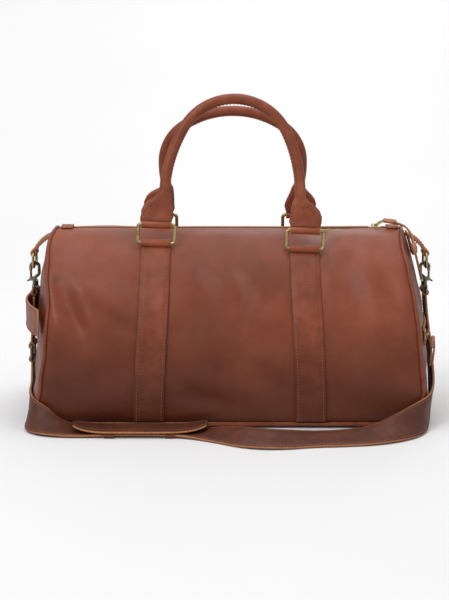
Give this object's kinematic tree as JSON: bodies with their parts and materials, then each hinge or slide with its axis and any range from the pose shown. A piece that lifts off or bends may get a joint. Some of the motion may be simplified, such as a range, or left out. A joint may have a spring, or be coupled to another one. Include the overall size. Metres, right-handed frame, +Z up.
{
  "type": "leather duffel bag",
  "caption": "Barrel-shaped leather travel bag with a top zip, twin rolled handles on brass rings, an end pocket, an end grip and a clip-on shoulder strap with pad.",
  "frame": {"origin": "on the floor under the middle of the base", "axes": "+X along the bag towards the end with the zipped pocket, -Y out of the front where the strap lies, +Z up"},
  "size_m": [0.5362, 0.3618, 0.417],
  "materials": {
    "leather": "waxed reddish-brown pull-up leather",
    "strap_leather": "waxed leather with raw tan edges",
    "brass": "antique brass with a dark patina",
    "steel": "small plain steel parts",
    "cotton": "woven cotton",
    "zip_tape": "woven zip tape",
    "rope": "twisted cotton rope",
    "board": "stiff base board"
  },
  "bodies": {
    "bag": {"front_panel": "leather", "rear_panel": "leather", "base_panel": "leather", "end_panel_left": "leather", "end_panel_right": "leather", "end_piping_left": "leather", "end_piping_right": "leather", "base_piping_front": "leather", "base_piping_rear": "leather", "zip_end_tab_left": "leather", "zip_end_tab_right": "leather", "end_grip": "leather", "pocket_welt": "leather", "end_tab_left": "leather", "end_tab_right": "leather", "pad_keepers": "leather", "shoulder_pad": "leather", "handle_strap_front_left": "strap_leather", "handle_strap_front_right": "strap_leather", "handle_strap_rear_left": "strap_leather", "handle_strap_rear_right": "strap_leather", "shoulder_strap": "strap_leather", "strap_billet": "strap_leather", "zip_teeth_front": "brass", "zip_teeth_rear": "brass", "pocket_zip_teeth": "brass", "strap_buckle": "brass", "lining": "cotton", "pocket_pouch": "cotton", "zip_tape_front": "zip_tape", "zip_tape_rear": "zip_tape", "pocket_zip_tape": "zip_tape", "base_board": "board"},
    "front_ring_left": {"handle_ring_front_left": "brass"},
    "front_ring_right": {"handle_ring_front_right": "brass"},
    "rear_ring_left": {"handle_ring_rear_left": "brass"},
    "rear_ring_right": {"handle_ring_rear_right": "brass"},
    "front_handle": {"front_handle": "leather", "front_handle_core": "rope"},
    "rear_handle": {"rear_handle": "leather", "rear_handle_core": "rope"},
    "zip_slider": {"zip_slider": "brass"},
    "zip_pull": {"zip_pull_ring": "brass", "zip_thong_a": "leather", "zip_thong_b": "leather"},
    "pocket_slider": {"pocket_slider": "brass"},
    "pocket_pull": {"pocket_pull_ring": "brass", "pocket_thong_a": "leather", "pocket_thong_b": "leather"},
    "d_ring_left": {"d_ring_left": "brass"},
    "swivel_left": {"swivel_ring_left": "brass"},
    "hook_left": {"snap_hook_left": "brass"},
    "gate_left": {"hook_gate_left": "steel"},
    "d_ring_right": {"d_ring_right": "brass"},
    "swivel_right": {"swivel_ring_right": "brass"},
    "hook_right": {"snap_hook_right": "brass"},
    "gate_right": {"hook_gate_right": "steel"}
  },
  "joints": [
    {"name": "front_ring_left", "type": "hinge", "parent": "bag", "child": "front_ring_left", "pos_m": [0, -0.06781, 0.2255], "axis": [0.9982, -0.0495, -0.0336], "range_deg": [-5, 110]},
    {"name": "front_ring_right", "type": "hinge", "parent": "bag", "child": "front_ring_right", "pos_m": [0, -0.06781, 0.2255], "axis": [0.9982, -0.0495, -0.0336], "range_deg": [-5, 110]},
    {"name": "front_handle", "type": "hinge", "parent": "front_ring_left", "child": "front_handle", "pos_m": [0.00103, -0.06287, 0.24897], "axis": [0.9982, -0.0495, -0.0336], "range_deg": [-2, 50]},
    {"name": "rear_ring_left", "type": "hinge", "parent": "bag", "child": "rear_ring_left", "pos_m": [0, 0.06729, 0.22601], "axis": [1, 0, 0], "range_deg": [-110, 5]},
    {"name": "rear_ring_right", "type": "hinge", "parent": "bag", "child": "rear_ring_right", "pos_m": [0, 0.06729, 0.22601], "axis": [1, 0, 0], "range_deg": [-110, 5]},
    {"name": "rear_handle", "type": "hinge", "parent": "rear_ring_left", "child": "rear_handle", "pos_m": [0, 0.0623, 0.24948], "axis": [1, 0, 0], "range_deg": [-50, 2]},
    {"name": "zip_slide", "type": "slide", "parent": "bag", "child": "zip_slider", "axis": [1, 0, 0], "range_m": [-0.38, 0], "deforming": ["zip_thong_a", "zip_thong_b"]},
    {"name": "zip_pull", "type": "hinge", "parent": "zip_slider", "child": "zip_pull", "pos_m": [0.19, 0, 0.2431], "axis": [0, 1, 0], "range_deg": [-25, 0], "deforming": ["zip_thong_a", "zip_thong_b"]},
    {"name": "pocket_slide", "type": "hinge", "parent": "bag", "child": "pocket_slider", "pos_m": [-0.263, 0, 0.115], "axis": [0, 0, 1], "range_deg": [0, 19.2], "deforming": ["pocket_thong_a", "pocket_thong_b", "shoulder_strap"]},
    {"name": "pocket_pull", "type": "hinge", "parent": "pocket_slider", "child": "pocket_pull", "pos_m": [0.25123, -0.08698, 0.115], "axis": [0, 0, 1], "range_deg": [-10, 10], "deforming": ["pocket_thong_a", "pocket_thong_b"]},
    {"name": "swivel_left_swing", "type": "hinge", "parent": "bag", "child": "swivel_left", "pos_m": [-0.257, 0, 0.208], "axis": [0, 1, 0], "range_deg": [-2, 12], "deforming": ["strap_billet"]},
    {"name": "d_ring_left_swing", "type": "hinge", "parent": "bag", "child": "d_ring_left", "pos_m": [-0.257, 0, 0.208], "axis": [0, 1, 0], "range_deg": [-2, 12]},
    {"name": "hook_left_turn", "type": "hinge", "parent": "swivel_left", "child": "hook_left", "pos_m": [-0.257, 0, 0.167], "axis": [0, 0, 1], "range_deg": [-20, 20]},
    {"name": "gate_left", "type": "hinge", "parent": "hook_left", "child": "gate_left", "pos_m": [-0.262, 0, 0.1725], "axis": [0, 1, 0], "range_deg": [0, 28], "stiffness_Nm_per_rad": 0.002, "springref_deg": -8.59},
    {"name": "swivel_right_swing", "type": "hinge", "parent": "bag", "child": "swivel_right", "pos_m": [0.257, 0, 0.208], "axis": [0, 1, 0], "range_deg": [-25, 2], "deforming": ["shoulder_strap"]},
    {"name": "d_ring_right_swing", "type": "hinge", "parent": "bag", "child": "d_ring_right", "pos_m": [0.257, 0, 0.208], "axis": [0, 1, 0], "range_deg": [-25, 2]},
    {"name": "hook_right_turn", "type": "hinge", "parent": "swivel_right", "child": "hook_right", "pos_m": [0.257, 0, 0.167], "axis": [0, 0, 1], "range_deg": [-20, 20]},
    {"name": "gate_right", "type": "hinge", "parent": "hook_right", "child": "gate_right", "pos_m": [0.262, 0, 0.1725], "axis": [0, 1, 0], "range_deg": [-28, 0], "stiffness_Nm_per_rad": 0.002, "springref_deg": 8.59}
  ],
  "couplings": [
    {"joint": "front_ring_right", "follows": "front_ring_left", "ratio": 1},
    {"joint": "rear_ring_right", "follows": "rear_ring_left", "ratio": 1},
    {"joint": "d_ring_left_swing", "follows": "swivel_left_swing", "ratio": 1},
    {"joint": "d_ring_right_swing", "follows": "swivel_right_swing", "ratio": 1}
  ]
}
